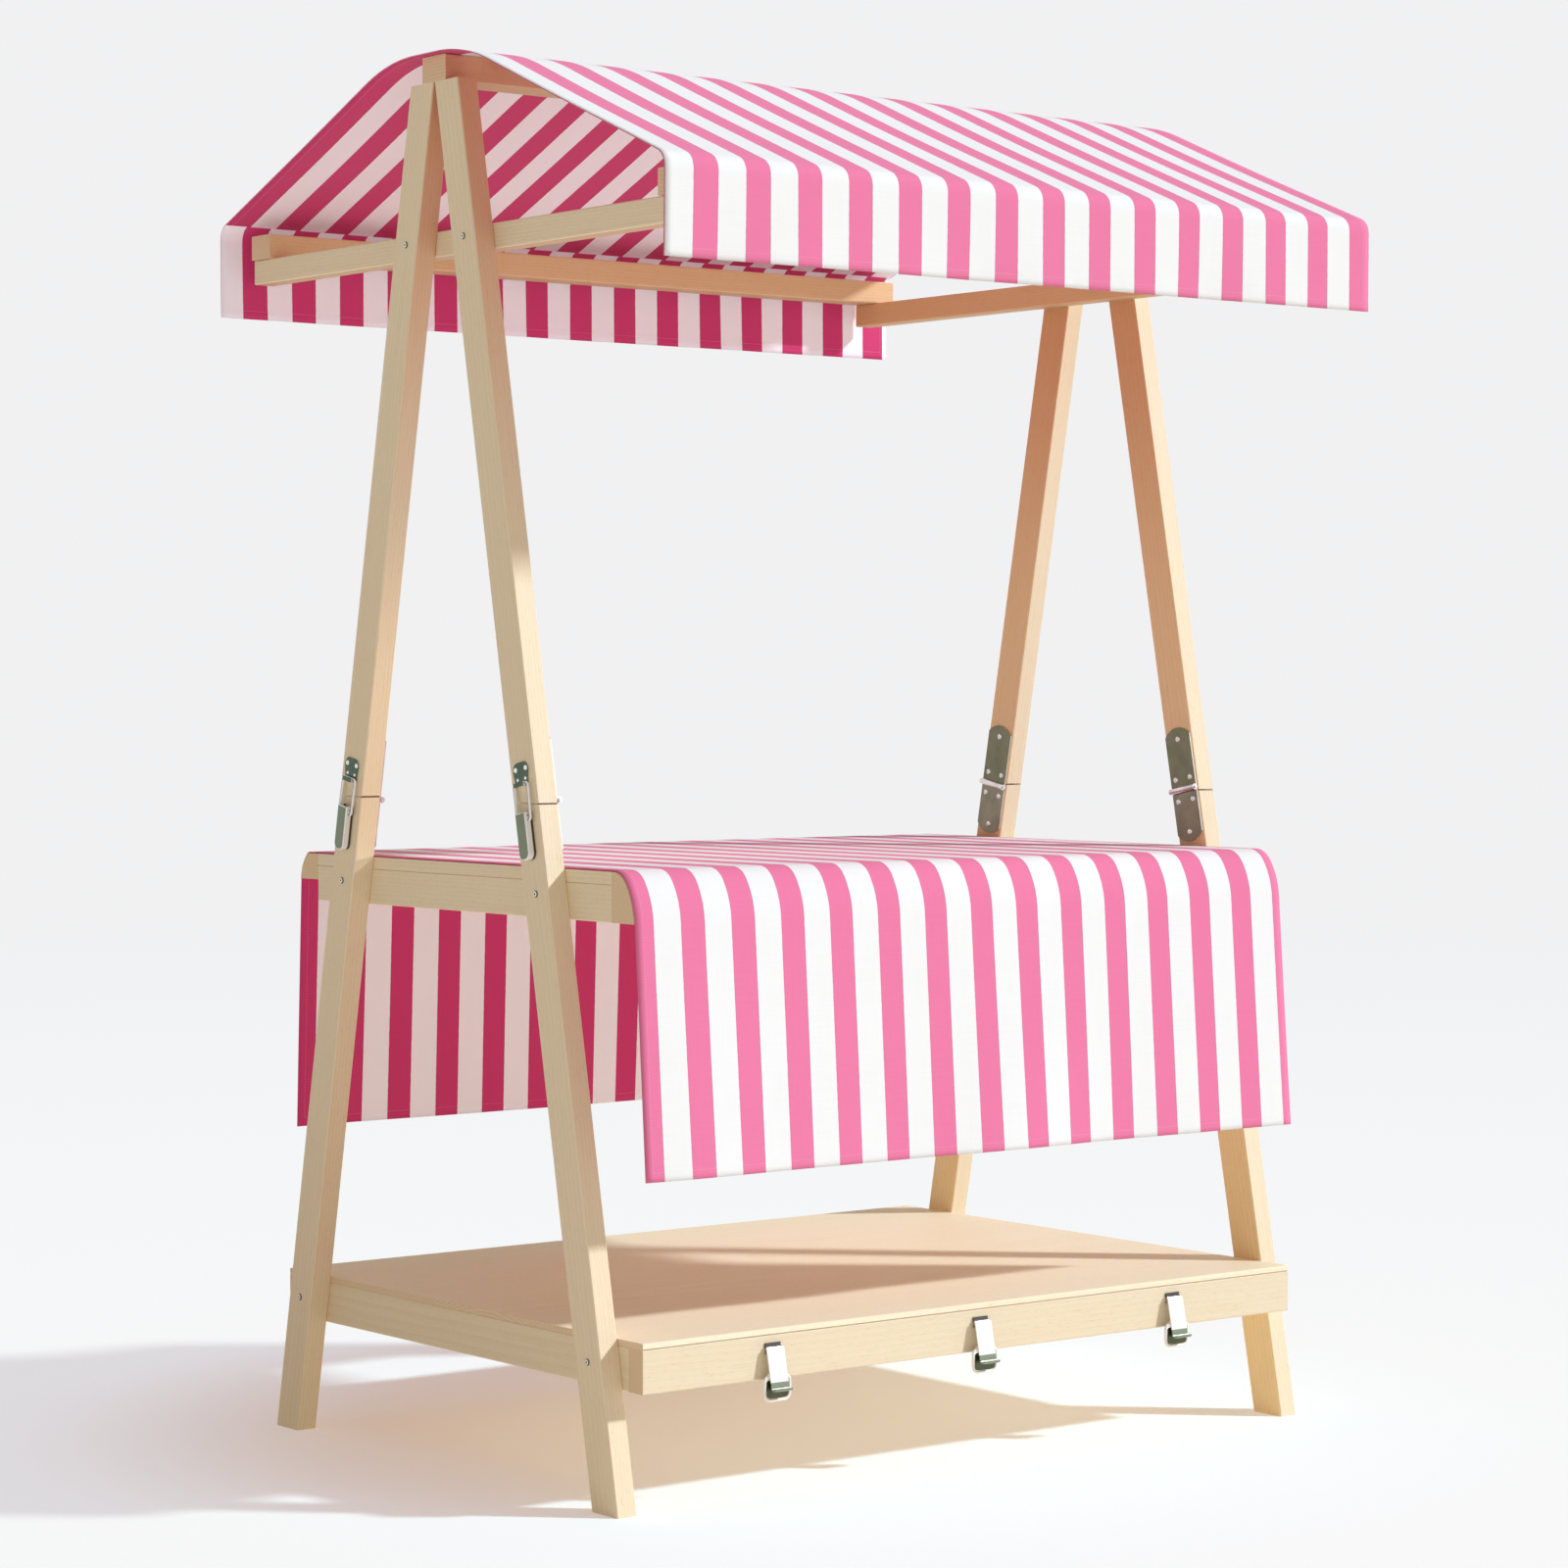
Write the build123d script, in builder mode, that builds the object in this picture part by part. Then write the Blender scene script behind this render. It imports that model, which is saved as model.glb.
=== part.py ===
"""Wooden market stall with a striped canopy and a cloth-covered counter.

Two A-frames stand at the ends. Each of their legs is sawn across above the counter and joined again
by a strap hinge on the inside and a draw latch on the outside. A shelf and a counter run between the
frames, and a ridge beam and two eave rails carry the canopy.

+X runs along the stall, -Y is the customer's side, +Z is up, and the origin is on the ground at the
middle of the stall. Sizes are in millimetres.
"""
import os
from math import acos, atan2, cos, degrees, hypot, radians, sin

from build123d import *

os.makedirs("parts", exist_ok=True)

# A-frames
frame_length = 1330
foot_spread = 920
leg_height = 2050
leg_width = 62
leg_thickness = 34
leg_top_gap = 2
leg_cut_rise = 93
saw_cut = 0.8
arris = 1.5

# Roof timbers
ridge_width = 62
ridge_height = 38
bar_height = 38
bar_thickness = 34
bar_length = 1148
bar_drop = 252
eave_width = 56
eave_height = 38
eave_overhang = 5

# Canopy sheet
cloth_thickness = 2
cloth_lift = 0.3
canopy_overhang = 16
canopy_eave_gap = 17
valance_gap = 21
crest_radius = 342
eave_fold_radius = 26
valance_drop = 122

# Counter
counter_height = 900
counter_rail_height = 72
counter_rear_rail_height = 40
counter_depth = 904
counter_rear_inset = 14
nosing_width = 52
front_crown_radius = 36
front_crown_angle = 55
rear_crown_radius = 12
rear_crown_angle = 45
counter_board_thickness = 18
counter_end_rail_thickness = 34
counter_cloth_gap = 2
front_hang = 434
front_flare_angle = 4
rear_hang = 434
rear_flare_angle = 2.3

# Shelf
shelf_height = 243
shelf_depth = 948
shelf_board_thickness = 9
shelf_rail_height = 63
shelf_rail_thickness = 34

# Small bores, pivots and bent wires are many-sided prisms, with few sides because they repeat
bore_side_count = 8
wire_side_count = 6

# Strap hinges on the inner faces of the legs
leaf_inset = 2.5
leaf_clearance = 8
upper_leaf_length = 102
leaf_thickness = 2.5
leaf_end_rise = 13
barrel_diameter = 10
barrel_inset = 2
pin_diameter = 5
pin_reach = 2
knuckle_count = 3
tongue_reach_share = 0.5
hinge_play = 0.2

# Draw latches on the outer faces of the legs
keeper_inset = 8.5
keeper_height = 36
keeper_foot_inset = 15
keeper_thickness = 2.5
keeper_centre_height = 42
keeper_round_share = 0.27
hook_rise = 6.5
hook_wall = 2.2
latch_play = 0.2
latch_wire = 4.4
bail_side_gap = 2.1
latch_bail_corner = 4.5
lever_inset = 18.5
lever_length = 68
lever_depth = 13
lever_wall = 2
lever_drop = 14
lever_round_share = 0.4
lever_edge_chamfer = 1.5
pivot_drop = 5
pivot_diameter = 4
pivot_spacing = 7
base_side_gap = 2
base_thickness = 2
base_margin = 3

# Draw latches on the front rail of the shelf
clip_pitch = 391
clip_count = 3
clip_row_offset = -12
clip_top_drop = 20
clip_base_inset = 1.5
clip_base_height = 16
clip_base_thickness = 2
clip_barrel_drop = 4.5
clip_barrel_diameter = 6
strap_width = 31
strap_length = 57
strap_thickness = 2
strap_angle = 12
lip_radius = 6
lip_angle = 150
clip_wire = 4
clip_bail_gap = 5
clip_bail_height = 38
clip_bail_corner = 10
clip_bail_rise = 17
ear_width = 3
ear_wall = 1.7
ear_bite_share = 0.5

half_length = frame_length / 2
inner_face = half_length - leg_thickness
foot_edge = foot_spread / 2
leg_cut_height = counter_height + leg_cut_rise
top_edge = leg_top_gap / 2 + leg_width
ridge_top = leg_height + ridge_height
bar_bottom_height = leg_height - bar_drop
bar_top = bar_bottom_height + bar_height
eave_top = bar_top + eave_height
bar_half = bar_length / 2
canopy_length = frame_length + 2 * canopy_overhang
canopy_half = bar_half + valance_gap
counter_front_reach = counter_depth / 2
counter_rear_reach = counter_front_reach - counter_rear_inset
counter_board_range = (nosing_width - counter_front_reach, counter_rear_reach - nosing_width)
counter_bottom = counter_height - counter_rail_height
shelf_half = shelf_depth / 2
shelf_bottom = shelf_height - shelf_board_thickness - shelf_rail_height
lean = degrees(atan2(foot_edge - top_edge, leg_height))


def leg_edge(height):
    """Distance from the middle plane to a leg's outer edge at a height above the ground."""
    return foot_edge + (top_edge - foot_edge) * height / leg_height


def write(piece, name):
    """Label a finished piece and write it as its own file."""
    piece.label = name
    export_step(piece, f"parts/{name}.step")


def board(x_range, y_range, z_range, name):
    """A planed board between two limits along each axis, with its long edges eased."""
    length = x_range[1] - x_range[0]
    depth = y_range[1] - y_range[0]
    height = z_range[1] - z_range[0]
    long_axis = Axis.X if length > depth else Axis.Y
    with BuildPart() as piece:
        with BuildSketch(Plane.XY.offset(z_range[0])):
            with Locations(((x_range[0] + x_range[1]) / 2, (y_range[0] + y_range[1]) / 2)):
                Rectangle(length, depth)
        extrude(amount=height)
        chamfer(piece.edges().filter_by(long_axis), arris)
    write(piece.part, name)


# The eight half legs: each leg is one leaning board, cut level at both ends and sawn at the hinge.
for end, end_side in (("left", -1), ("right", 1)):
    for row, row_side in (("front", -1), ("rear", 1)):
        for half, low, high in (
            ("lower", 0, leg_cut_height - saw_cut / 2),
            ("upper", leg_cut_height + saw_cut / 2, leg_height),
        ):
            with BuildPart() as leg:
                with BuildSketch(Plane.YZ.offset(min(end_side * half_length, end_side * inner_face))):
                    with BuildLine():
                        Polyline(
                            (row_side * leg_edge(low), low),
                            (row_side * (leg_edge(low) - leg_width), low),
                            (row_side * (leg_edge(high) - leg_width), high),
                            (row_side * leg_edge(high), high),
                            close=True,
                        )
                    make_face()
                extrude(amount=leg_thickness)
                long_edges = leg.edges().filter_by(
                    lambda edge: abs(edge.tangent_at(0).Z) > cos(radians(2 * lean))
                )
                chamfer(long_edges, arris)
            write(leg.part, f"{row}_{end}_{half}_leg")

# Ridge beam on the leg tops, cross bars on the inner faces of the upper legs, eave rails on the bars.
board(
    (-half_length, half_length),
    (-ridge_width / 2, ridge_width / 2),
    (leg_height, ridge_top),
    "ridge_beam",
)
for end, end_side in (("left", -1), ("right", 1)):
    outer = end_side * inner_face
    inner = end_side * (inner_face - bar_thickness)
    board(
        (min(outer, inner), max(outer, inner)),
        (-bar_half, bar_half),
        (bar_bottom_height, bar_top),
        f"{end}_cross_bar",
    )
for row, row_side in (("front", -1), ("rear", 1)):
    outer = row_side * bar_half
    inner = row_side * (bar_half - eave_width)
    board(
        (-inner_face - eave_overhang, inner_face + eave_overhang),
        (min(outer, inner), max(outer, inner)),
        (bar_top, eave_top),
        f"{row}_eave_rail",
    )

# Canopy: one sheet, flat over the ridge beam, rounded beside it, straight down the slope, and folded
# down clear of the eave rails to hang as a valance.
crest_height = ridge_top + cloth_lift + cloth_thickness
eave_skin_height = eave_top + canopy_eave_gap + cloth_thickness
eave_reach = bar_half - ridge_width / 2
eave_rise = eave_skin_height - crest_height + crest_radius
slope_angle = degrees(atan2(eave_reach, eave_rise) - acos(crest_radius / hypot(eave_reach, eave_rise)))
fold_start_reach = canopy_half - eave_fold_radius * (1 - sin(radians(slope_angle)))
with BuildPart() as canopy:
    with BuildSketch(Plane.YZ.offset(-canopy_length / 2)):
        with BuildLine():
            flat = Line((0, crest_height), (ridge_width / 2, crest_height))
            crown = JernArc(flat @ 1, flat % 1, crest_radius, -slope_angle)
            run = (fold_start_reach - (crown @ 1).X) / cos(radians(slope_angle))
            slope = Line(crown @ 1, crown @ 1 + (crown % 1) * run)
            fold = JernArc(slope @ 1, slope % 1, eave_fold_radius, slope_angle - 90)
            Line(fold @ 1, fold @ 1 - Vector(0, valance_drop))
            offset(amount=cloth_thickness, side=Side.RIGHT)
        make_face()
    extrude(amount=canopy_length)
    mirror(about=Plane.XZ)
write(canopy.part, "canopy_cloth")

def nosing_shape(height, crown_radius, crown_angle, flare):
    """Radius of the slack bend below a nosing's crown, and the depth of both bends together.

    The crown turns down from level and the slack bend goes on to the flare, at the nosing's foot.
    """
    crown_drop = crown_radius * (1 - cos(radians(crown_angle)))
    slack_radius = (height - crown_drop) / (cos(radians(crown_angle)) - sin(radians(flare)))
    crown_run = crown_radius * sin(radians(crown_angle))
    slack_run = slack_radius * (cos(radians(flare)) - sin(radians(crown_angle)))
    return slack_radius, crown_run + slack_run


# Counter: a board between a front and a rear rail whose outer sides are rounded for the cloth, carried
# by end rails bolted to the legs. The rear rail is the lower one.
nosings = (
    (
        "front", -1, counter_front_reach, counter_rail_height,
        front_crown_radius, front_crown_angle, front_flare_angle, front_hang,
    ),
    (
        "rear", 1, counter_rear_reach, counter_rear_rail_height,
        rear_crown_radius, rear_crown_angle, rear_flare_angle, rear_hang,
    ),
)
board(
    (-inner_face, inner_face),
    counter_board_range,
    (counter_height - counter_board_thickness, counter_height),
    "counter_board",
)
for row, row_side, outer_reach, height, crown_radius, crown_angle, flare, hang in nosings:
    slack_radius, bend_run = nosing_shape(height, crown_radius, crown_angle, flare)
    inner_edge = row_side * (outer_reach - nosing_width)
    crown_edge = row_side * (outer_reach - bend_run)
    with BuildPart() as nosing:
        with BuildSketch(Plane.YZ.offset(-inner_face)):
            with BuildLine():
                top = Line((inner_edge, counter_height), (crown_edge, counter_height))
                crown = JernArc(top @ 1, top % 1, crown_radius, -row_side * crown_angle)
                slack = JernArc(crown @ 1, crown % 1, slack_radius, -row_side * (90 - flare - crown_angle))
                foot = Line(slack @ 1, (inner_edge, counter_height - height))
                Line(foot @ 1, top @ 0)
            make_face()
        extrude(amount=2 * inner_face)
    write(nosing.part, f"counter_{row}_rail")
for end, end_side in (("left", -1), ("right", 1)):
    outer = end_side * inner_face
    inner = end_side * (inner_face - counter_end_rail_thickness)
    board(
        (min(outer, inner), max(outer, inner)),
        counter_board_range,
        (counter_bottom, counter_height - counter_board_thickness),
        f"counter_{end}_rail",
    )

# Counter cloth: one sheet laid over the counter and hanging at the front and the rear.
cloth_half = inner_face - counter_cloth_gap
cloth_rise = cloth_lift + cloth_thickness
cloth_top = counter_height + cloth_rise
with BuildPart() as counter_cloth:
    for row, row_side, outer_reach, height, crown_radius, crown_angle, flare, hang in nosings:
        slack_radius, bend_run = nosing_shape(height, crown_radius, crown_angle, flare)
        crown_edge = row_side * (outer_reach - bend_run)
        fall = hang - height - cloth_rise * (1 - sin(radians(flare)))
        with BuildSketch(Plane.YZ.offset(-cloth_half)):
            with BuildLine():
                top = Line((0, cloth_top), (crown_edge, cloth_top))
                crown = JernArc(top @ 1, top % 1, crown_radius + cloth_rise, -row_side * crown_angle)
                slack = JernArc(
                    crown @ 1, crown % 1, slack_radius + cloth_rise, -row_side * (90 - flare - crown_angle)
                )
                Line(slack @ 1, slack @ 1 + (slack % 1) * (fall / cos(radians(flare))))
                offset(amount=cloth_thickness, side=Side.RIGHT if row_side > 0 else Side.LEFT)
            make_face()
        extrude(amount=2 * cloth_half)
write(counter_cloth.part, "counter_cloth")

# Shelf: a thin board on a frame of four rails, the end rails bolted to the legs.
board(
    (-inner_face, inner_face),
    (-shelf_half, shelf_half),
    (shelf_height - shelf_board_thickness, shelf_height),
    "shelf_board",
)
for row, row_side in (("front", -1), ("rear", 1)):
    outer = row_side * shelf_half
    inner = row_side * (shelf_half - shelf_rail_thickness)
    board(
        (-inner_face, inner_face),
        (min(outer, inner), max(outer, inner)),
        (shelf_bottom, shelf_height - shelf_board_thickness),
        f"shelf_{row}_rail",
    )
for end, end_side in (("left", -1), ("right", 1)):
    outer = end_side * inner_face
    inner = end_side * (inner_face - shelf_rail_thickness)
    board(
        (min(outer, inner), max(outer, inner)),
        (-shelf_half + shelf_rail_thickness, shelf_half - shelf_rail_thickness),
        (shelf_bottom, shelf_height - shelf_board_thickness),
        f"shelf_{end}_rail",
    )


def leg_planes(face_distance, facing):
    """Planes on the four legs at the saw cut: local x across the leg, y up along it, z off its face."""
    planes = []
    middle = leg_edge(leg_cut_height) - leg_width / 2
    for end_side in (-1, 1):
        for row_side in (-1, 1):
            across = Vector(0, cos(radians(lean)), row_side * sin(radians(lean)))
            planes.append(
                Plane(
                    origin=(end_side * face_distance, row_side * middle, leg_cut_height),
                    x_dir=across * (end_side * facing),
                    z_dir=(end_side * facing, 0, 0),
                )
            )
    return planes


def side_plane(plane, across):
    """Plane square to a leg across its width: local x up along the leg, local y off its face."""
    return Plane(
        origin=plane.from_local_coords((across, 0, 0)), x_dir=plane.y_dir, z_dir=plane.x_dir
    )


def bore(radius):
    """Outline of a small hole that clears a pin or wire of a radius, with that radius to its flats."""
    RegularPolygon(radius, bore_side_count, major_radius=False)


def leaf_outline(direction, leaf_length, knuckle_spans):
    """One hinge leaf, up or down the leg from the barrel, with a tongue to each of its knuckles."""
    half_width = leaf_width / 2
    start = direction * (barrel_radius + hinge_play)
    tongue_end = direction * barrel_radius * tongue_reach_share
    end = direction * leaf_length
    shoulder = end - direction * leaf_end_rise
    with BuildSketch() as outline:
        with BuildLine():
            Polyline(
                (-half_width, shoulder),
                (-half_width, start),
                (half_width, start),
                (half_width, shoulder),
            )
            ThreePointArc((half_width, shoulder), (0, end), (-half_width, shoulder))
        make_face()
        for first, last in knuckle_spans:
            left = max(first, -half_width)
            right = min(last, half_width)
            with Locations(((left + right) / 2, (start + tongue_end) / 2)):
                Rectangle(right - left, abs(start - tongue_end))
    return outline.sketch


# Strap hinges: two leaves with interlocking knuckles around a pin, one hinge inside each leg.
leaf_width = leg_width - 2 * leaf_inset
lower_leaf_length = leg_cut_rise - leaf_clearance
barrel_length = leg_width - 2 * barrel_inset
barrel_radius = barrel_diameter / 2
knuckle_half = barrel_length / knuckle_count / 2
outer_spans = (
    (-barrel_length / 2, -knuckle_half - hinge_play / 2),
    (knuckle_half + hinge_play / 2, barrel_length / 2),
)
middle_span = ((-knuckle_half + hinge_play / 2, knuckle_half - hinge_play / 2),)
for name, direction, leaf_length, spans in (
    ("upper", 1, upper_leaf_length, outer_spans),
    ("lower", -1, lower_leaf_length, middle_span),
):
    with BuildPart() as leaves:
        for plane in leg_planes(inner_face, -1):
            with BuildSketch(plane):
                add(leaf_outline(direction, leaf_length, spans))
            extrude(amount=leaf_thickness)
            for first, last in spans:
                with BuildSketch(side_plane(plane, first)):
                    with Locations((0, barrel_radius)):
                        Circle(barrel_radius)
                extrude(amount=last - first)
                with BuildSketch(side_plane(plane, first)):
                    with Locations((0, barrel_radius)):
                        bore(pin_diameter / 2 + hinge_play)
                extrude(amount=last - first, mode=Mode.SUBTRACT)
    write(leaves.part, f"hinge_{name}_leaves")
with BuildPart() as pins:
    for plane in leg_planes(inner_face, -1):
        with BuildSketch(side_plane(plane, -barrel_length / 2 - pin_reach)):
            with Locations((0, barrel_radius)):
                Circle(pin_diameter / 2)
        extrude(amount=barrel_length + 2 * pin_reach)
write(pins.part, "hinge_pins")

# Draw latches outside the legs. The keeper, a shield-shaped plate with an upturned hook, is on the
# upper half leg. A base on the lower half leg carries the lever, and the lever pulls a wire bail
# down in the hook.
keeper_width = leg_width - 2 * keeper_inset
keeper_foot_width = leg_width - 2 * keeper_foot_inset
lever_width = leg_width - 2 * lever_inset
lever_end_radius = lever_width * lever_round_share
bail_reach = lever_width / 2 + bail_side_gap + latch_wire / 2
hook_width = 2 * (bail_reach - latch_bail_corner - latch_play)
base_width = lever_width - 2 * (lever_wall + base_side_gap)
keeper_foot = keeper_centre_height - keeper_height / 2
keeper_top = keeper_centre_height + keeper_height / 2
hook_mouth = latch_wire + 2 * latch_play
wire_room = latch_play + latch_wire / 2
bail_top = (keeper_foot + hook_wall + wire_room, keeper_thickness + wire_room)
bail_foot = (-lever_drop - pivot_drop - pivot_spacing, lever_depth / 2)
with BuildPart() as keepers:
    for plane in leg_planes(half_length, 1):
        with BuildSketch(plane) as shield:
            with BuildLine():
                Polyline(
                    (-keeper_foot_width / 2, keeper_foot),
                    (keeper_foot_width / 2, keeper_foot),
                    (keeper_width / 2, keeper_top),
                    (-keeper_width / 2, keeper_top),
                    close=True,
                )
            make_face()
            fillet(shield.vertices().group_by(Axis.Y)[-1], keeper_width * keeper_round_share)
        extrude(amount=keeper_thickness)
        with BuildSketch(side_plane(plane, -hook_width / 2)):
            with BuildLine():
                Polyline(
                    (keeper_foot, keeper_thickness),
                    (keeper_foot, keeper_thickness + hook_mouth + hook_wall),
                    (keeper_foot + hook_rise, keeper_thickness + hook_mouth + hook_wall),
                    (keeper_foot + hook_rise, keeper_thickness + hook_mouth),
                    (keeper_foot + hook_wall, keeper_thickness + hook_mouth),
                    (keeper_foot + hook_wall, keeper_thickness),
                    close=True,
                )
            make_face()
        extrude(amount=hook_width)
write(keepers.part, "latch_keepers")

with BuildPart() as bails:
    for plane in leg_planes(half_length, 1):
        top_point = plane.from_local_coords((0, *bail_top))
        foot_point = plane.from_local_coords((0, *bail_foot))
        up = (top_point - foot_point).normalized()
        loop_plane = Plane(origin=foot_point, x_dir=plane.x_dir, z_dir=plane.x_dir.cross(up))
        rise = (top_point - foot_point).length
        with BuildLine(loop_plane) as loop:
            FilletPolyline(
                (bail_reach, 0), (bail_reach, rise), (-bail_reach, rise), (-bail_reach, 0),
                radius=latch_bail_corner,
                close=True,
            )
        with BuildSketch(Plane(origin=loop.line @ 0, z_dir=loop.line % 0)):
            RegularPolygon(latch_wire / 2, wire_side_count)
        sweep(path=loop.line)
write(bails.part, "latch_bails")

lever_top = -lever_drop
lever_foot = -lever_drop - lever_length
pivot_place = (lever_top - pivot_drop, lever_depth / 2)
with BuildPart() as levers:
    for plane in leg_planes(half_length, 1):
        with BuildSketch(plane.offset(latch_play)) as outside:
            with Locations((0, (lever_top + lever_foot) / 2)):
                Rectangle(lever_width, lever_length)
            fillet(outside.vertices().group_by(Axis.Y)[0], lever_end_radius)
        extrude(amount=lever_depth - latch_play)
    tops = levers.faces().filter_by(Axis.X)
    outermost = tops.sort_by(Axis.X)[:2] + tops.sort_by(Axis.X)[-2:]
    chamfer([edge for face in outermost for edge in face.edges()], lever_edge_chamfer)
    for plane in leg_planes(half_length, 1):
        with BuildSketch(plane.offset(latch_play)) as inside:
            with Locations((0, (lever_top + lever_foot) / 2 + lever_wall)):
                Rectangle(lever_width - 2 * lever_wall, lever_length)
            fillet(inside.vertices().group_by(Axis.Y)[0], lever_end_radius - lever_wall)
        extrude(amount=lever_depth - latch_play - lever_wall, mode=Mode.SUBTRACT)
        with BuildSketch(side_plane(plane, -lever_width)):
            with Locations(bail_foot):
                bore(latch_wire / 2 + latch_play)
            with Locations(pivot_place):
                bore(pivot_diameter / 2 + latch_play)
        extrude(amount=2 * lever_width, mode=Mode.SUBTRACT)
write(levers.part, "latch_levers")

base_top = lever_top - base_margin
base_foot = lever_foot + lever_end_radius + base_margin
with BuildPart() as bases:
    for plane in leg_planes(half_length, 1):
        with BuildSketch(plane):
            with Locations((0, (base_top + base_foot) / 2)):
                Rectangle(base_width, base_top - base_foot)
        extrude(amount=base_thickness)
        for ear_start in (-base_width / 2, base_width / 2 - base_thickness):
            with BuildSketch(side_plane(plane, ear_start)):
                with Locations((pivot_place[0], pivot_place[1] / 2)):
                    Rectangle(pivot_diameter, pivot_place[1])
                with Locations(pivot_place):
                    RegularPolygon(pivot_diameter / 2, bore_side_count)
            extrude(amount=base_thickness)
        with BuildSketch(side_plane(plane, -lever_width / 2)):
            with Locations(pivot_place):
                RegularPolygon(pivot_diameter / 2, bore_side_count)
        extrude(amount=lever_width)
write(bases.part, "latch_bases")

# Draw latches on the front rail of the shelf, hanging open: a base with a barrel, a slanting strap
# with a curled lip, and a wire bail in two ears behind the strap.
clip_height = shelf_height - clip_top_drop
barrel_height = clip_height - clip_barrel_drop - clip_barrel_diameter / 2
barrel_out = clip_barrel_diameter / 2
strap_down = Vector(-cos(radians(strap_angle)), sin(radians(strap_angle)))
strap_out = Vector(sin(radians(strap_angle)), cos(radians(strap_angle)))
strap_start = Vector(barrel_height, barrel_out) + strap_out * (clip_barrel_diameter / 2 + latch_play)
strap_end = strap_start + strap_down * strap_length
bore_radius = clip_wire / 2 + latch_play
ear_radius = bore_radius + ear_wall
ear_offset = ear_radius - ear_wall * ear_bite_share
bail_axis = strap_end - strap_down * clip_bail_rise - strap_out * ear_offset
clip_base_width = strap_width - 2 * clip_base_inset
clip_reach = strap_width / 2 + clip_bail_gap + clip_wire / 2
clip_bail_shoulder = clip_bail_gap + clip_wire / 2 - latch_play
clip_places = [
    clip_row_offset + clip_pitch * (number - (clip_count - 1) / 2) for number in range(clip_count)
]


def clip_plane(across):
    """Plane square to the front rail: local x up from the ground, local y forward off its face."""
    return Plane(origin=(across, -shelf_half, 0), x_dir=(0, 0, 1), z_dir=(1, 0, 0))


with BuildPart() as clip_bases:
    for place in clip_places:
        with BuildSketch(clip_plane(place - clip_base_width / 2)):
            with Locations((clip_height - clip_base_height / 2, clip_base_thickness / 2)):
                Rectangle(clip_base_height, clip_base_thickness)
            with Locations((barrel_height, barrel_out)):
                Circle(clip_barrel_diameter / 2)
        extrude(amount=clip_base_width)
write(clip_bases.part, "shelf_latch_bases")

with BuildPart() as straps:
    for place in clip_places:
        with BuildSketch(clip_plane(place - strap_width / 2)):
            with BuildLine():
                blade = Line(strap_start, strap_end)
                JernArc(blade @ 1, blade % 1, lip_radius, -lip_angle)
                offset(amount=strap_thickness, side=Side.RIGHT)
            make_face()
        extrude(amount=strap_width)
        for ear_start in (place - strap_width / 2, place + strap_width / 2 - ear_width):
            with BuildSketch(clip_plane(ear_start)):
                with Locations(bail_axis):
                    Circle(ear_radius)
            extrude(amount=ear_width)
            with BuildSketch(clip_plane(ear_start)):
                with Locations(bail_axis):
                    bore(bore_radius)
            extrude(amount=ear_width, mode=Mode.SUBTRACT)
write(straps.part, "shelf_latch_levers")

with BuildPart() as clip_bails:
    for place in clip_places:
        loop_origin = (place, -shelf_half - bail_axis.Y, bail_axis.X)
        drop = clip_bail_height - clip_wire
        with BuildLine(Plane(origin=loop_origin, x_dir=(1, 0, 0), z_dir=(0, -1, 0))) as ring:
            FilletPolyline(
                (clip_reach, 0), (clip_reach, -drop), (-clip_reach, -drop), (-clip_reach, 0),
                radius=[clip_bail_shoulder, clip_bail_corner, clip_bail_corner, clip_bail_shoulder],
                close=True,
            )
        with BuildSketch(Plane(origin=ring.line @ 0, z_dir=ring.line % 0)):
            RegularPolygon(clip_wire / 2, wire_side_count)
        sweep(path=ring.line)
write(clip_bails.part, "shelf_latch_bails")
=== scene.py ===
"""The looks of a wooden market stall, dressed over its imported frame.

Lengths are metres. +X runs along the stall, -Y is the customer's side, +Z is up.
"""

from math import pi

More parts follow.
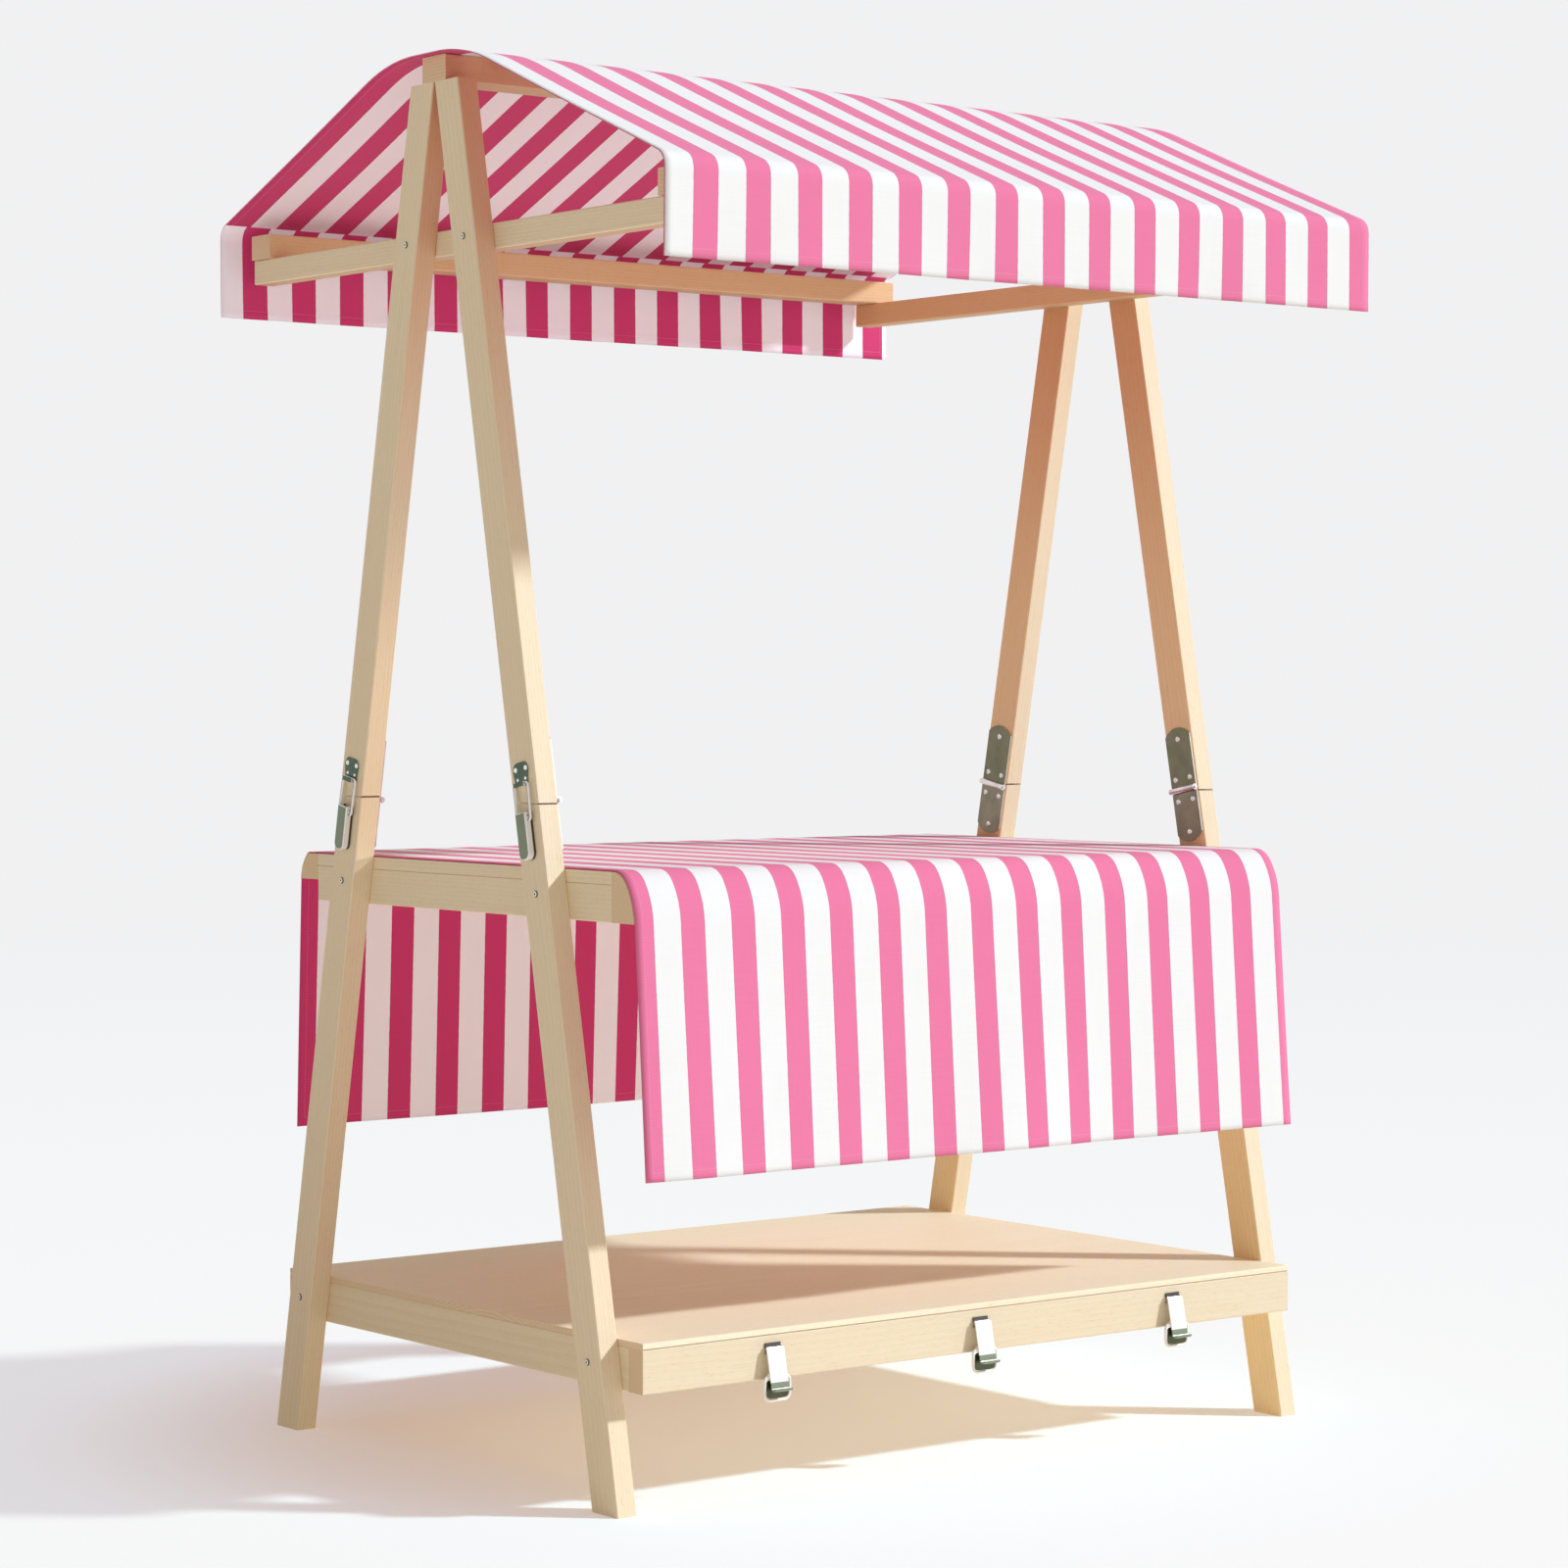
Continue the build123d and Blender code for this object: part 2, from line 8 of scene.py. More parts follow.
import bpy
import numpy as np
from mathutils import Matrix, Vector


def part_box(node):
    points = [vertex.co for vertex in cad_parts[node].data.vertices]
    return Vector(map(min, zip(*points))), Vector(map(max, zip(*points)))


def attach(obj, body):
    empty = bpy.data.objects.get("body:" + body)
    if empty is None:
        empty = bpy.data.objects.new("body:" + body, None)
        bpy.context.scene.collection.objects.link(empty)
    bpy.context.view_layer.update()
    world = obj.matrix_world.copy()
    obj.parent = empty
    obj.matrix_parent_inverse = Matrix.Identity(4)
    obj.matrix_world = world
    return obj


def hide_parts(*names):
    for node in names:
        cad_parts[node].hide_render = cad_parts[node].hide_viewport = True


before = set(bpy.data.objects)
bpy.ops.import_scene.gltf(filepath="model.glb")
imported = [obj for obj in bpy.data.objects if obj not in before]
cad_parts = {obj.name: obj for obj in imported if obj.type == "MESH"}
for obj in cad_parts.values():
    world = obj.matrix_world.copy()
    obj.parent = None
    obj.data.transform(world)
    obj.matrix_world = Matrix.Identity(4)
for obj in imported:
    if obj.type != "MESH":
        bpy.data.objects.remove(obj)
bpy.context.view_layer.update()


# Legs: eight half legs of planed beech, 62 by 34 mm, with eased edges. The lower and the upper
# half are one board sawn through above the counter, so each pair shares its grain.
class Socket:
    """One output of a node. Python's operators on it add Math nodes to the same tree."""

    def __init__(self, tree, output):
        self.tree = tree
        self.output = output

    def make(self, kind, settings, values, output=0):
        """A node: its settings are made first, then each of its sockets gets a value or a link."""
        node = self.tree.nodes.new(kind)
        for key, value in settings.items():
            setattr(node, key, value)
        for key, value in values.items():
            if isinstance(value, Socket):
                self.tree.links.new(value.output, node.inputs[key])
            else:
                node.inputs[key].default_value = value
        return Socket(self.tree, node.outputs[output])

    def math(self, operation, *others):
        """A Math node with this socket as its first value."""
        values = {number + 1: other for number, other in enumerate(others)}
        return self.make("ShaderNodeMath", {"operation": operation}, {0: self, **values})

    def __add__(self, other):
        return self.math("ADD", other)

    def __radd__(self, other):
        return self.math("ADD", other)

    def __sub__(self, other):
        return self.math("SUBTRACT", other)

    def __rsub__(self, other):
        return self.make("ShaderNodeMath", {"operation": "SUBTRACT"}, {0: other, 1: self})

    def __mul__(self, other):
        return self.math("MULTIPLY", other)

    def __rmul__(self, other):
        return self.math("MULTIPLY", other)

    def __truediv__(self, other):
        return self.math("DIVIDE", other)

    def step(self, low, high):
        """A smooth step from 0 at low to 1 at high."""
        return self.make(
            "ShaderNodeMapRange",
            {"interpolation_type": "SMOOTHSTEP"},
            {"Value": self, "From Min": low, "From Max": high},
        )

    def blend(self, first, second):
        """A colour that goes from first to second as this socket goes from 0 to 1."""
        return self.make(
            "ShaderNodeMix",
            {"data_type": "RGBA"},
            {"Factor": self, 6: first, 7: second},
            output=2,
        )

    def tint(self, colour, tone):
        """A colour that goes to its product with a tone as this socket goes from 0 to 1."""
        return self.make(
            "ShaderNodeMix",
            {"data_type": "RGBA", "blend_type": "MULTIPLY"},
            {"Factor": self, 6: colour, 7: tone},
            output=2,
        )

    def parts(self):
        """The three numbers of a vector."""
        split = self.make("ShaderNodeSeparateXYZ", {}, {0: self})
        return [Socket(self.tree, output) for output in split.output.node.outputs]

    def noise(self, stretch, detail=2.0):
        """Noise over a vector that is stretched by a different scale along each axis."""
        place = self.make("ShaderNodeVectorMath", {"operation": "MULTIPLY"}, {0: self, 1: stretch})
        return self.make(
            "ShaderNodeTexNoise", {}, {"Vector": place, "Scale": 1.0, "Detail": detail}
        )


def finish(name, **constants):
    """A material, the first socket of its tree, and its surface shader with its constants set."""
    material = bpy.data.materials.new(name)
    material.use_nodes = True
    surface = material.node_tree.nodes["Principled BSDF"]
    for key, value in constants.items():
        surface.inputs[key.replace("_", " ")].default_value = value
    return material, Socket(material.node_tree, surface.outputs[0]), surface.inputs


def connect(tree_socket, inputs, **links):
    """Links sockets to the inputs of a surface shader."""
    for key, socket in links.items():
        tree_socket.tree.links.new(socket.output, inputs[key.replace("_", " ")])


beech_pale = (0.875, 0.755, 0.540, 1)
beech_late = (0.80, 0.60, 0.38, 1)
beech_fleck = (0.60, 0.40, 0.23, 1)
beech_end = (0.75, 0.52, 0.30, 1)
beech_edge = (0.95, 0.82, 0.60, 1)
beech_gap = (0.12, 0.05, 0.02, 1)
# Painted light: warm bounce light and shade on faces that look into the stall, shade near the
# roof, and shade under the roof timbers.
beech_painted_inner = (0.93, 0.75, 0.57, 1)
beech_roof_shaded = (0.80, 0.52, 0.42, 1)
beech_under_shade = (0.74, 0.58, 0.46, 1)
painted_inner_levels = (1.10, 1.80)
roof_shaded_levels = (1.35, 2.05)
under_shade_levels = (1.0, 1.5)
ring_spacing = 0.0052
ring_bend = 0.018
slow_stretch = (1.1, 6, 6)
fibre_stretch = (4, 300, 300)
fleck_stretch = (70, 900, 900)
cloud_stretch = (0.9, 5, 5)
late_share = 0.26
cloud_share = 0.5
pale_bias = 0.18
streak_share = 0.26
fleck_share = 0.26
edge_share = 0.4
seam_blur = 0.0002
grain_axis = Vector((1, 0, 0))


def beech(
    name, along, pith, inward_axes, pale=beech_pale, late=beech_late, seam=(0.0, 0.0, 0.0),
    painted_inner=(beech_painted_inner, beech_painted_inner), roof_shade_share=0.0,
):
    """Planed beech whose grain runs along a direction.

    Growth rings are the distance from a pith line, bent by slow noise; fibres and flecks are noise
    drawn out along the grain. End grain is darker, and the eased edges are a little paler. The
    inward axes are those along which a face looks into the stall; such a face takes painted warm
    bounce light and shade, in one tone near the counter and another near the roof. Other front and
    rear faces take painted shade towards the roof by the roof shade share, and faces of the roof
    timbers that look down take painted shade. A seam is a level, the half width of the dark line
    that runs there on front and rear faces, and how dark the line is.
    """
    material, tree, surface = finish(f"beech_{name}", Specular_IOR_Level=0.5)
    turn = Vector(along).rotation_difference(grain_axis).to_euler()
    place = tree.make("ShaderNodeTexCoord", {}, {}, output="Object")
    facing = tree.make("ShaderNodeTexCoord", {}, {}, output="Normal")
    grain = tree.make(
        "ShaderNodeMapping", {"vector_type": "POINT"},
        {"Vector": place, "Rotation": turn, "Location": (pith[1], pith[0], pith[0] / 2)},
    )
    normal = tree.make(
        "ShaderNodeMapping", {"vector_type": "NORMAL"}, {"Vector": facing, "Rotation": turn}
    )
    _, across, deep = grain.parts()
    face_run, face_across, face_deep = [part.math("ABSOLUTE") for part in normal.parts()]

    slow = grain.noise(slow_stretch, 3)
    radius = (across * across + deep * deep).math("SQRT") + slow * ring_bend
    ring = (radius / ring_spacing).math("FRACT")
    late_wood = ring.step(0.2, 0.9) * (1 - ring.step(0.9, 1.0))
    fibre = grain.noise(fibre_stretch, 3)
    fleck = grain.noise(fleck_stretch, 1).step(0.60, 0.72)
    cloudy = grain.noise(cloud_stretch, 2)

    darkness = late_wood * late_share + cloudy * cloud_share - pale_bias
    base = darkness.math("MAXIMUM", 0.0).blend(pale, late)
    streaked = (fibre.step(0.35, 0.8) * streak_share).blend(base, late)
    flecked = (fleck * fleck_share).blend(streaked, beech_fleck)
    end_cut = face_run.step(0.75, 0.95)
    ended = (end_cut * (0.55 + 0.35 * late_wood)).blend(flecked, beech_end)
    eased = face_across.math("MINIMUM", face_deep).step(0.25, 0.5)
    edged = (eased * edge_share).blend(ended, beech_edge)
    from_middle = place.make(
        "ShaderNodeVectorMath", {"operation": "MULTIPLY"}, {0: place, 1: inward_axes}
    )
    outward = facing.make(
        "ShaderNodeVectorMath",
        {"operation": "DOT_PRODUCT"},
        {0: facing, 1: from_middle},
        output="Value",
    )
    inward = 1 - outward.step(-0.15, -0.05)
    level = place.parts()[2]
    face_y, face_z = facing.parts()[1:]
    # Painted warm bounce light and shade on inner faces, painted shade near the roof and under the
    # roof timbers.
    inner_painted = inward.tint(edged, level.step(*painted_inner_levels).blend(*painted_inner))
    lengthwise = face_y.math("ABSOLUTE").step(0.5, 0.8)
    roof_shade_mask = lengthwise * (1 - inward) * level.step(*roof_shaded_levels) * roof_shade_share
    roof_shaded = roof_shade_mask.tint(inner_painted, beech_roof_shaded)
    under_shade_mask = (0 - face_z).step(0.7, 0.95) * level.step(*under_shade_levels)
    shaded = under_shade_mask.tint(roof_shaded, beech_under_shade)
    seam_level, seam_half, seam_dark = seam
    from_seam = (level - seam_level).math("ABSOLUTE")
    gap = 1 - from_seam.step(seam_half * 0.6, seam_half + seam_blur)
    colour = (gap * lengthwise * seam_dark).blend(shaded, beech_gap)

    height = fibre * 0.5 + late_wood * 0.25 - fleck * 0.6
    bump = tree.make("ShaderNodeBump", {}, {"Height": height, "Strength": 0.2, "Distance": 0.0004})
    rough = 0.52 + 0.16 * fibre + 0.1 * end_cut
    connect(tree, surface, Base_Color=colour, Roughness=rough, Normal=bump)
    return material


def wear(node, material):
    """Gives a piece of the frame its finish."""
    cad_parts[node].data.materials.clear()
    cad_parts[node].data.materials.append(material)


leg_width = 0.062
end_wall = (1, 0, 0)
long_wall = (0, 1, 0)
# Painted light on the legs' inner faces, brighter near the counter and darker near the roof, and
# painted shade near the roof on their other faces.
leg_painted_inner = ((1.10, 0.98, 0.76, 1), (0.80, 0.48, 0.31, 1))
leg_roof_shade_share = {"left": 1.0, "right": 0.35}
cut_half = 0.0015
cut_dark = 0.92
leg_slope = {}
for row, row_side in (("front", -1), ("rear", 1)):
    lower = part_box(f"{row}_left_lower_leg")
    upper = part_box(f"{row}_left_upper_leg")
    foot_edge = lower[0].y if row_side < 0 else lower[1].y
    top_edge = upper[1].y if row_side < 0 else upper[0].y
    foot_middle = foot_edge - row_side * leg_width / 2
    top_middle = top_edge + row_side * leg_width / 2
    leg_slope[row] = (foot_middle, (top_middle - foot_middle) / upper[1].z)
    cut_level = (lower[1].z + upper[0].z) / 2
    for number, end in enumerate(("left", "right")):
        pith = (0.045 + 0.03 * number, 0.7 * number + 0.31 * row_side)
        grain_way = (0, leg_slope[row][1], 1)
        leg_beech = beech(
            f"{row}_{end}_leg", grain_way, pith, end_wall, seam=(cut_level, cut_half, cut_dark),
            painted_inner=leg_painted_inner, roof_shade_share=leg_roof_shade_share[end],
        )
        for half in ("lower", "upper"):
            wear(f"{row}_{end}_{half}_leg", leg_beech)


# Roof timbers: a ridge beam on the leg tops, a cross bar inside each pair of legs, and two eave
# rails lying on the bars' ends. All are planed beech with eased edges.
# Painted warm shade on the cross bars' inner faces, and painted shade on the ridge beam's front
# and rear faces.
bar_painted_inner = (0.86, 0.61, 0.42, 1)
wear("ridge_beam", beech("ridge_beam", (1, 0, 0), (0.06, 0.0), long_wall, roof_shade_share=1.0))
for number, name in enumerate(("front_eave_rail", "rear_eave_rail"), 1):
    wear(name, beech(name, (1, 0, 0), (0.06 + 0.02 * number, 0.43 * number), long_wall))
for number, name in enumerate(("left_cross_bar", "right_cross_bar")):
    pith = (0.05 + 0.04 * number, 0.57 * number)
    wear(name, beech(name, (0, 1, 0), pith, end_wall, painted_inner=(bar_painted_inner, bar_painted_inner)))


# Counter: a board between two rounded rails, on end rails bolted to the legs. Only the end rails
# and the ends of the board and the rounded rails show beside the cloth. The board's grain runs to
# the rear.
wear("counter_board", beech("counter_board", (0, 1, 0), (0.07, 0.0), end_wall))
for number, name in enumerate(("counter_front_rail", "counter_rear_rail"), 1):
    wear(name, beech(name, (1, 0, 0), (0.07 + 0.03 * number, 0.29 * number), long_wall))
for number, name in enumerate(("counter_left_rail", "counter_right_rail")):
    wear(name, beech(name, (0, 1, 0), (0.06 + 0.03 * number, 0.83 * number), end_wall))


# Shelf: a thin board lying on a frame of four rails. The board is one wide sheet of paler sliced
# beech, and a dark joint shows below its front and rear edges.
joint_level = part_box("shelf_board")[0].z
sliced_pale = (0.985, 0.875, 0.65, 1)
sliced_late = (0.92, 0.73, 0.51, 1)
rail_pale = (0.825, 0.725, 0.530, 1)
joint_half = 0.0008
joint_dark = 0.74
shelf_joint = (joint_level, joint_half, joint_dark)
sliced_beech = beech(
    "shelf_board", (1, 0, 0), (0.09, 0.0), long_wall, sliced_pale, sliced_late, shelf_joint
)
wear("shelf_board", sliced_beech)
for number, name in enumerate(("shelf_front_rail", "shelf_rear_rail")):
    pith = (0.07 - 0.02 * number, 0.61 + 0.61 * number)
    wear(name, beech(name, (1, 0, 0), pith, long_wall, rail_pale, seam=shelf_joint))
for number, name in enumerate(("shelf_left_rail", "shelf_right_rail")):
    wear(name, beech(name, (0, 1, 0), (0.05 + 0.03 * number, 0.37 * number), end_wall))


# Frame bolts: a zinc-plated bolt with a domed, socketed head through each leg at the cross bar,
# the counter and the shelf. Cap nuts draw up those of the counter and the shelf; the bars are
# tapped.
zone_blur = 0.0003
stain = (0.03, 0.03, 0.03, 1)


def steel(
    name, face, side, axis, roughness, streak,
    zone=(0, 0.0), zone_tone=(0, 0, 0, 1), shine=(1.0, 1.0), tarnish=1.0,
):
    """Plated steel, in one tone where it faces along an axis and in another round its sides.

    A zone is an axis and a distance from the middle along it: nearer than that, the tone is the
    zone's. Most uses paint highlights, shade and reflections with the side and zone tones. Brush
    lines are noise drawn out along one axis, and slow noise dulls it in places, more so with more
    tarnish. The shine is how metallic it is on its broad faces, and on its sides and in the zone.
    """
    material, tree, surface = finish(f"steel_{name}")
    place = tree.make("ShaderNodeTexCoord", {}, {}, output="Object")
    facing = tree.make("ShaderNodeTexCoord", {}, {}, output="Normal")
    broad = facing.parts()[axis].math("ABSOLUTE").step(0.78, 0.97)
    brushed = place.noise(streak, 3)
    dull = place.noise((38, 38, 38), 3)
    zone_axis, zone_reach = zone
    from_middle = place.parts()[zone_axis].math("ABSOLUTE")
    in_zone = 1 - from_middle.step(zone_reach - zone_blur, zone_reach)
    plated = in_zone.blend(broad.blend(side, face), zone_tone)
    stained = (dull.step(0.35, 0.75) * 0.22 + brushed * 0.12) * tarnish
    tone = stained.blend(plated, stain)
    bump = tree.make(
        "ShaderNodeBump", {}, {"Height": brushed, "Strength": 0.08, "Distance": 0.0002}
    )
    rough = roughness + 0.14 * dull * brushed
    metallic = shine[1] + (shine[0] - shine[1]) * broad * (1 - in_zone)
    connect(tree, surface, Base_Color=tone, Roughness=rough, Metallic=metallic, Normal=bump)
    return material


sharp_angle = 0.7


def turned(name, profile, seats, sides, materials, inner=0, recess=None, shape=(1, 1, 1)):
    """Like pieces turned round the axis of each seat, joined in one mesh.

    The profile is rows of radius and height, from the middle of the top to the middle of the
    foot. A point is the seat's centre, plus radius times the turned pair of side directions, plus
    height times the seat's outward direction. A recess lowers the height as a function of the two
    side offsets. The two ends of the profile are single points. The first inner rows take the
    second material. The shape is the two half widths that the turning circle is stretched to, and
    the power that its cosine and sine are raised to: below one, they make a rectangle with rounded
    corners.
    """
    radius, height = np.array(profile).T
    angle = np.arange(sides) * 2 * pi / sides
    half_a, half_b, power = shape
    round_a = np.sign(np.cos(angle)) * np.abs(np.cos(angle)) ** power
    round_b = np.sign(np.sin(angle)) * np.abs(np.sin(angle)) ** power
    side_a = np.outer(radius[1:-1], round_a * half_a).ravel()
    side_b = np.outer(radius[1:-1], round_b * half_b).ravel()
    side_a = np.concatenate([side_a, [0, 0]])
    side_b = np.concatenate([side_b, [0, 0]])
    rise = np.concatenate([np.repeat(height[1:-1], sides), height[[0, -1]]])
    if recess is not None:
        rise = rise - recess(side_a, side_b, rise)
    rings = len(radius) - 2
    row = np.arange(rings - 1)[:, None] * sides
    here = np.arange(sides)
    after = (here + 1) % sides
    walls = np.stack([row + here, row + sides + here, row + sides + after, row + after], -1)
    top = np.full(sides, rings * sides)
    last = (rings - 1) * sides
    caps = np.concatenate([
        np.stack([top, here, after], -1),
        np.stack([top + 1, last + after, last + here], -1),
    ])
    centres, outward, upward = (np.array(part, float) for part in zip(*seats))
    aside = np.cross(upward, outward)
    points = (
        centres[:, None]
        + side_a[:, None] * aside[:, None]
        + side_b[:, None] * upward[:, None]
        + rise[:, None] * outward[:, None]
    )
    first = np.arange(len(seats))[:, None, None] * len(rise)
    quads = (first + walls.reshape(-1, 4)).reshape(-1, 4)
    fans = (first + caps).reshape(-1, 3)
    mesh = bpy.data.meshes.new(name)
    mesh.from_pydata(points.reshape(-1, 3), [], quads.tolist() + fans.tolist())
    mesh.shade_smooth()
    mesh.set_sharp_from_angle(angle=sharp_angle)
    for material in materials:
        mesh.materials.append(material)
    wall_kind = np.repeat(np.arange(rings - 1) < inner, sides)
    cap_kind = np.repeat([inner > 0, False], sides)
    kinds = np.concatenate([np.tile(wall_kind, len(seats)), np.tile(cap_kind, len(seats))])
    mesh.polygons.foreach_set("material_index", kinds.astype(np.int32))
    piece = bpy.data.objects.new(name, mesh)
    bpy.context.collection.objects.link(piece)
    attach(piece, "root")
    return piece


bolt_radius = 0.0050
bolt_rise = 0.0022
socket_radius = 0.0016
bolt_profile = [
    (0, 0.0005), (socket_radius, 0.0005), (socket_radius, bolt_rise),
    (0.0034, bolt_rise), (0.0045, 0.0016), (bolt_radius, 0.0007), (bolt_radius, 0), (0, 0),
]
nut_profile = [
    (0, 0.0052), (0.0022, 0.0049), (0.0040, 0.0036), (0.0047, 0.0018),
    (0.0078, 0.0014), (0.0082, 0.0006), (0.0082, 0), (0, 0),
]
# Round the heads' and cap nuts' sides the dark tone is a painted shade.
zinc_face = (0.96, 0.93, 0.87, 1)
zinc_shade = (0.13, 0.12, 0.09, 1)
zinc_shine = (0.25, 0.9)
even_streak = (400, 400, 400)
zinc = steel("zinc", zinc_face, zinc_shade, 0, 0.25, even_streak, shine=zinc_shine, tarnish=0.3)
# The sockets are painted dark as shade.
socket_face = (0.10, 0.09, 0.08, 1)
socket_side = (0.05, 0.05, 0.05, 1)
socket_shade = steel("socket", socket_face, socket_side, 0, 0.4, even_streak)
bolt_shares = {"{}_cross_bar": 0.5, "counter_{}_rail": 0.67, "shelf_{}_rail": 0.62}
bolt_seats = []
nut_seats = []
for end, end_side in (("left", -1), ("right", 1)):
    leg_face = end_side * abs(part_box(f"front_{end}_lower_leg")[1 if end_side > 0 else 0].x)
    for pattern, share in bolt_shares.items():
        rail = pattern.format(end)
        low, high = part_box(rail)
        level = low.z + (high.z - low.z) * share
        rail_face = low.x if end_side > 0 else high.x
        for row in ("front", "rear"):
            middle = leg_slope[row][0] + leg_slope[row][1] * level
            bolt_seats.append(((leg_face, middle, level), (end_side, 0, 0), (0, 0, 1)))
            if rail != f"{end}_cross_bar":
                nut_seats.append(((rail_face, middle, level), (-end_side, 0, 0), (0, 0, 1)))
turned("frame_bolts", bolt_profile, bolt_seats, 24, [zinc, socket_shade], inner=1)
turned("frame_cap_nuts", nut_profile, nut_seats, 24, [zinc])


# Strap hinges: two stamped steel leaves and a pin inside each leg, each leaf held by three
# countersunk cross-head screws, one near its round end and two beside the barrel.
leg_face_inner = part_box("front_right_lower_leg")[0].x
leaf_thickness = 0.0025
barrel_clear = 0.0004
barrel_zone = (0, leg_face_inner - leaf_thickness - barrel_clear)
# The barrel's pale pink tone is a painted reflection, the leaves' bright edges are a painted
# highlight, and the lower leaf's lighter, browner tone is a painted reflection of the cloth.
barrel_reflection = (0.92, 0.83, 0.82, 1)
leaf_highlight = (0.75, 0.72, 0.66, 1)
leaf_tones = {"upper": (0.21, 0.19, 0.12, 1), "lower": (0.28, 0.235, 0.165, 1)}
for half, tone in leaf_tones.items():
    leaf_steel = steel(
        f"{half}_leaf", tone, leaf_highlight, 0, 0.26, (500, 60, 60), barrel_zone, barrel_reflection
    )
    wear(f"hinge_{half}_leaves", leaf_steel)
pin_face = (0.90, 0.86, 0.84, 1)
pin_side = (0.85, 0.80, 0.78, 1)
wear("hinge_pins", steel("barrel", pin_face, pin_side, 1, 0.22, (60, 300, 300)))

screw_face = (0.97, 0.97, 0.95, 1)
screw_side = (0.80, 0.80, 0.78, 1)
screw_steel = steel("screw", screw_face, screw_side, 0, 0.16, (300, 300, 300))
screw_radius = 0.0050
screw_rise = 0.0016
sunk = 0.0004
screw_profile = [(0, screw_rise)]
screw_profile += [
    (screw_radius * part, screw_rise * (1 - part**4)) for part in np.linspace(0.12, 0.96, 12)
]
screw_profile += [(screw_radius, -sunk), (0, -sunk)]
slot_half = 0.0006
slot_reach = 0.0026
slot_depth = 0.0011


def cross_recess(side_a, side_b, rise):
    """A cross cut into a head: two crossing bars, deepest in the middle, shallow at their tips."""
    narrow = np.minimum(np.abs(side_a), np.abs(side_b))
    wide = np.maximum(np.abs(side_a), np.abs(side_b))
    in_cross = (narrow < slot_half) * (wide < slot_reach) * (rise > 0)
    return slot_depth * in_cross * (1 - wide / slot_reach / 2)


def leg_places(face, turn):
    """For each leg, the middle of the saw cut on one of its faces, and three directions.

    The face is a distance from the middle of the stall, and the turn is 1 where it looks away from
    the middle and -1 where it looks towards it. The directions are out of the face, up along the
    leg, and across it.
    """
    for end_side in (-1, 1):
        for foot, lean in leg_slope.values():
            up = Vector((0, lean, 1)).normalized()
            out = Vector((end_side * turn, 0, 0))
            cut = Vector((end_side * face, foot + lean * cut_level, cut_level))
            yield cut, out, up, up.cross(out)


lone_screws = ((-1, 0.070), (1, 0.083))
pair_aside = 0.017
pair_along = 0.018
screw_seats = []
for cut, out, up, side in leg_places(leg_face_inner - leaf_thickness, -1):
    for reach, lone_along in lone_screws:
        places = ((0, lone_along), (-pair_aside, pair_along), (pair_aside, pair_along))
        for across, along in places:
            screw_seats.append((cut + side * across + up * (reach * along), out, up))
turned(
    "hinge_screws", screw_profile, screw_seats, 32, [screw_steel],
    recess=cross_recess,
)


# Draw latches on the legs: a stamped keeper riveted above the cut, and a bail of round wire that a
# bent sheet lever pulls down from a base below it. All are plated steel: keeper and base dark
# green, lever grey-green and wire grey where they face out, with painted highlights round their
# sides and a painted shade where the lever meets the leg.
corner_points = 13
wire_sides = 16


def wire_rings(name, seats, half_width, rise, corners, radius, material):
    """Closed rings of round wire, joined in one mesh.

    The middle line of a ring is a rectangle with rounded corners, that stands on the seat's point
    along its side and upward directions. It is walked by a turning direction, corner by corner: a
    point is the corner's centre plus the corner's radius times the direction. The surface is that
    point, plus the wire's radius times the turned pair of the direction and the normal of the
    ring's plane.
    """
    low, high = corners
    wide_low = half_width - low
    wide_high = half_width - high
    turn = np.linspace(0, pi / 2, corner_points)
    heading = np.concatenate([turn, turn + pi / 2, turn + pi, turn + 3 * pi / 2])
    corner_radius = np.repeat([high, high, low, low], corner_points)
    centre_a = np.repeat([wide_high, -wide_high, -wide_low, wide_low], corner_points)
    centre_b = np.repeat([rise - high, rise - high, low, low], corner_points)
    around = np.arange(wire_sides) * 2 * pi / wire_sides
    reach = corner_radius[:, None] + radius * np.cos(around)
    in_a = centre_a[:, None] + reach * np.cos(heading)[:, None]
    in_b = centre_b[:, None] + reach * np.sin(heading)[:, None]
    off = np.broadcast_to(radius * np.sin(around), in_a.shape)
    points, sides, ups = (np.array(part, float)[:, None, None] for part in zip(*seats))
    normals = np.cross(sides, ups)
    surface = points + in_a[..., None] * sides + in_b[..., None] * ups + off[..., None] * normals
    count = in_a.size
    index = np.arange(count).reshape(in_a.shape)
    ahead = np.roll(index, -1, axis=0)
    beside = np.roll(index, -1, axis=1)
    quads = np.stack([index, ahead, np.roll(ahead, -1, axis=1), beside], -1).reshape(-1, 4)
    faces = (np.arange(len(seats))[:, None, None] * count + quads).reshape(-1, 4)
    mesh = bpy.data.meshes.new(name)
    mesh.from_pydata(surface.reshape(-1, 3), [], faces.tolist())
    mesh.shade_smooth()
    mesh.materials.append(material)
    piece = bpy.data.objects.new(name, mesh)
    bpy.context.collection.objects.link(piece)
    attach(piece, "root")
    return piece


leg_face_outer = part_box("front_right_lower_leg")[1].x
# Keeper, base and lever are dark green and grey-green where they face out; round their sides the
# bright tone is a painted highlight.
dark_green = (0.092, 0.135, 0.090, 1)
grey_green = (0.190, 0.218, 0.145, 1)
bright = (0.97, 0.97, 0.96, 1)
keeper_steel = steel("keeper", dark_green, bright, 0, 0.16, (60, 400, 60))
